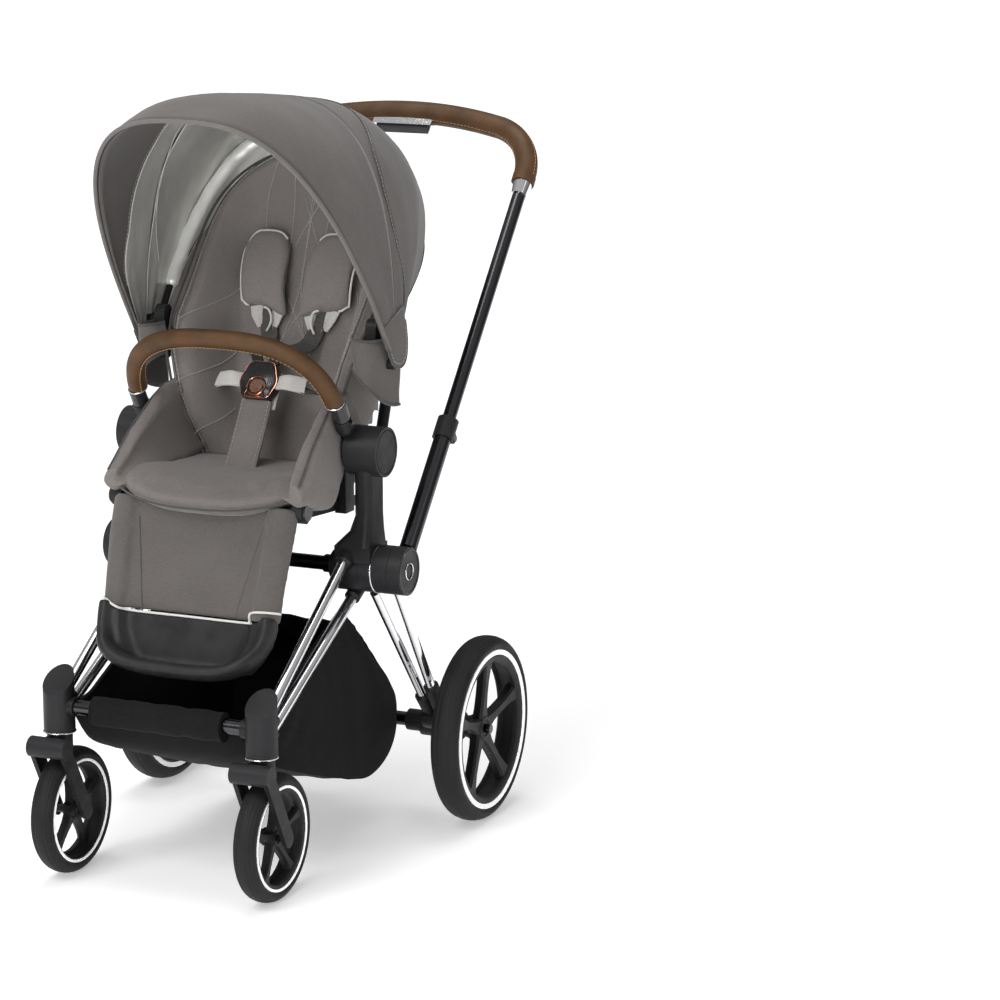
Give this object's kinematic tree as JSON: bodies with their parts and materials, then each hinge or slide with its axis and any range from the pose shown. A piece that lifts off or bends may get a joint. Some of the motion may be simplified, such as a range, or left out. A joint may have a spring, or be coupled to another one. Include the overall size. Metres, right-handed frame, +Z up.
{
  "type": "baby stroller",
  "caption": "Folding baby stroller with a padded reclining seat, bumper bar, leg rest, hood, under-seat basket, swivelling front casters and an extending handlebar.",
  "frame": {"origin": "on the floor, under the middle of the overall box of the open stroller", "axes": "+Z up, -Y the way it is pushed (the child faces -Y), +X to its left"},
  "size_m": [0.604, 0.9319, 1.1502],
  "materials": {
    "frame_black": "satin black moulded plastic with a fine grain",
    "tube_dark": "dark anodised, satin",
    "leg_chrome": "polished",
    "basket_fabric": "black woven polyester",
    "steel_pin": "turned",
    "leather_brown": "tan-brown leatherette with a fine grain",
    "seat_fabric": "taupe-grey woven fabric, padded",
    "strap_webbing": "dark grey woven webbing",
    "lip_leather": "black leatherette, wipe-clean",
    "copper_button": "copper-coloured",
    "wheel_black": "satin black moulded rim",
    "tyre_black": "foam-filled rubber",
    "button_black": "smooth"
  },
  "bodies": {
    "chassis": {"hub_housings": "frame_black", "fold_axles": "steel_pin", "seat_posts": "frame_black", "seat_hubs": "frame_black", "upper_cross_tube": "tube_dark", "front_legs": "leg_chrome", "front_housings": "frame_black", "front_cross_tube": "tube_dark", "basket": "basket_fabric"},
    "rear_frame": {"rear_hub_drums": "frame_black", "rear_legs": "leg_chrome", "rear_brackets": "frame_black", "rear_axle": "tube_dark"},
    "brake": {"brake_pedal": "frame_black"},
    "handle": {"handle_hubs": "frame_black", "handle_lower_tubes": "tube_dark", "handle_clamps": "frame_black"},
    "clamp_button_l": {"clamp_button_left": "button_black"},
    "clamp_button_r": {"clamp_button_right": "button_black"},
    "handle_top": {"handle_inner_tubes": "tube_dark", "handlebar_grip": "leather_brown", "handle_collars": "leg_chrome", "trigger_housing": "leg_chrome"},
    "trigger": {"fold_trigger": "button_black"},
    "caster_l": {"caster_fork_left": "frame_black"},
    "caster_r": {"caster_fork_right": "frame_black"},
    "front_wheel_l": {"front_tyre_left": "tyre_black", "front_rim_left": "wheel_black"},
    "front_wheel_r": {"front_tyre_right": "tyre_black", "front_rim_right": "wheel_black"},
    "rear_wheel_l": {"rear_tyre_left": "tyre_black", "rear_rim_left": "wheel_black"},
    "rear_wheel_r": {"rear_tyre_right": "tyre_black", "rear_rim_right": "wheel_black"},
    "seat": {"seat_frame": "frame_black", "seat_cushion": "seat_fabric", "seat_side_panels": "seat_fabric", "crotch_strap": "strap_webbing", "buckle": "button_black"},
    "buckle_press": {"buckle_button": "copper_button"},
    "bumper_bar": {"bumper_bar_tube": "leg_chrome", "bumper_bar_cover": "leather_brown"},
    "bumper_button_l": {"bumper_button_left": "button_black"},
    "bumper_button_r": {"bumper_button_right": "button_black"},
    "leg_rest": {"leg_rest_panel": "seat_fabric", "footrest_lip": "lip_leather"},
    "leg_rest_button_l": {"leg_rest_button_left": "button_black"},
    "leg_rest_button_r": {"leg_rest_button_right": "button_black"},
    "backrest": {"backrest_pad": "seat_fabric", "backrest_frame": "frame_black", "harness_straps": "strap_webbing", "shoulder_pads": "strap_webbing", "canopy_clips": "frame_black", "canopy_rear_panel": "seat_fabric"},
    "recline_grip": {"recline_lever": "frame_black"},
    "canopy_middle": {"canopy_middle_panel": "seat_fabric", "canopy_middle_bow": "frame_black"},
    "canopy_front": {"canopy_front_panel": "seat_fabric", "canopy_front_bow": "frame_black"}
  },
  "joints": [
    {"name": "frame_fold", "type": "hinge", "parent": "chassis", "child": "handle", "pos_m": [0, -0.085, 0.436], "axis": [1, 0, 0], "range_deg": [0, 159], "deforming": ["basket"]},
    {"name": "rear_frame_swing", "type": "hinge", "parent": "chassis", "child": "rear_frame", "pos_m": [0, -0.085, 0.436], "axis": [1, 0, 0], "range_deg": [-65, 0]},
    {"name": "brake_press", "type": "hinge", "parent": "rear_frame", "child": "brake", "pos_m": [0, 0.115, 0.145], "axis": [-1, 0, 0], "range_deg": [0, 20]},
    {"name": "clamp_button_left_press", "type": "slide", "parent": "handle", "child": "clamp_button_l", "axis": [-1, 0, 0], "range_m": [0, 0.002], "stiffness_N_per_m": 600, "springref_m": -0.002},
    {"name": "clamp_button_right_press", "type": "slide", "parent": "handle", "child": "clamp_button_r", "axis": [1, 0, 0], "range_m": [0, 0.002], "stiffness_N_per_m": 600, "springref_m": -0.002},
    {"name": "handle_extend", "type": "slide", "parent": "handle", "child": "handle_top", "axis": [0, 0.6468, 0.7627], "range_m": [-0.08, 0.02]},
    {"name": "fold_trigger_squeeze", "type": "slide", "parent": "handle_top", "child": "trigger", "axis": [0, 0.6468, 0.7627], "range_m": [0, 0.004], "stiffness_N_per_m": 900, "springref_m": -0.003},
    {"name": "caster_swivel_left", "type": "hinge", "parent": "chassis", "child": "caster_l", "pos_m": [0.168, -0.398, 0.2], "axis": [0, 0, 1], "continuous": true},
    {"name": "caster_swivel_right", "type": "hinge", "parent": "chassis", "child": "caster_r", "pos_m": [-0.168, -0.398, 0.2], "axis": [0, 0, 1], "continuous": true},
    {"name": "front_wheel_spin_left", "type": "hinge", "parent": "caster_l", "child": "front_wheel_l", "pos_m": [0.168, -0.371, 0.095], "axis": [1, 0, 0], "continuous": true},
    {"name": "front_wheel_spin_right", "type": "hinge", "parent": "caster_r", "child": "front_wheel_r", "pos_m": [-0.168, -0.371, 0.095], "axis": [1, 0, 0], "continuous": true},
    {"name": "rear_wheel_spin_left", "type": "hinge", "parent": "rear_frame", "child": "rear_wheel_l", "pos_m": [0.278, 0.115, 0.145], "axis": [1, 0, 0], "continuous": true},
    {"name": "rear_wheel_spin_right", "type": "hinge", "parent": "rear_frame", "child": "rear_wheel_r", "pos_m": [-0.278, 0.115, 0.145], "axis": [1, 0, 0], "continuous": true},
    {"name": "seat_lift", "type": "slide", "parent": "chassis", "child": "seat", "axis": [0, 0, 1], "range_m": [0, 0.12]},
    {"name": "buckle_button_press", "type": "slide", "parent": "seat", "child": "buckle_press", "axis": [0, 0.848, -0.53], "range_m": [0, 0.002], "stiffness_N_per_m": 600, "springref_m": -0.002},
    {"name": "bumper_bar_lift", "type": "slide", "parent": "seat", "child": "bumper_bar", "axis": [0, -0.515, 0.8572], "range_m": [0, 0.04]},
    {"name": "bumper_button_left_press", "type": "slide", "parent": "bumper_bar", "child": "bumper_button_l", "axis": [-1, 0, 0], "range_m": [0, 0.002], "stiffness_N_per_m": 600, "springref_m": -0.002},
    {"name": "bumper_button_right_press", "type": "slide", "parent": "bumper_bar", "child": "bumper_button_r", "axis": [1, 0, 0], "range_m": [0, 0.002], "stiffness_N_per_m": 600, "springref_m": -0.002},
    {"name": "leg_rest_tilt", "type": "hinge", "parent": "seat", "child": "leg_rest", "pos_m": [0, -0.236, 0.548], "axis": [-1, 0, 0], "range_deg": [0, 65]},
    {"name": "leg_rest_button_left_press", "type": "slide", "parent": "seat", "child": "leg_rest_button_l", "axis": [-1, 0, 0], "range_m": [0, 0.003], "stiffness_N_per_m": 600, "springref_m": -0.002},
    {"name": "leg_rest_button_right_press", "type": "slide", "parent": "seat", "child": "leg_rest_button_r", "axis": [1, 0, 0], "range_m": [0, 0.003], "stiffness_N_per_m": 600, "springref_m": -0.002},
    {"name": "backrest_recline", "type": "hinge", "parent": "seat", "child": "backrest", "pos_m": [0, -0.02, 0.56], "axis": [-1, 0, 0], "range_deg": [0, 45]},
    {"name": "recline_lever_squeeze", "type": "slide", "parent": "backrest", "child": "recline_grip", "axis": [0, 0.342, 0.9397], "range_m": [0, 0.008], "stiffness_N_per_m": 500, "springref_m": -0.003},
    {"name": "canopy_middle_fold", "type": "hinge", "parent": "backrest", "child": "canopy_middle", "pos_m": [0, -0.05, 0.74], "axis": [-1, 0, 0], "range_deg": [0, 34]},
    {"name": "canopy_front_fold", "type": "hinge", "parent": "canopy_middle", "child": "canopy_front", "pos_m": [0, -0.05, 0.74], "axis": [-1, 0, 0], "range_deg": [0, 34]}
  ],
  "couplings": [
    {"joint": "rear_frame_swing", "follows": "frame_fold", "ratio": -0.4025},
    {"joint": "canopy_front_fold", "follows": "canopy_middle_fold", "ratio": 1}
  ]
}
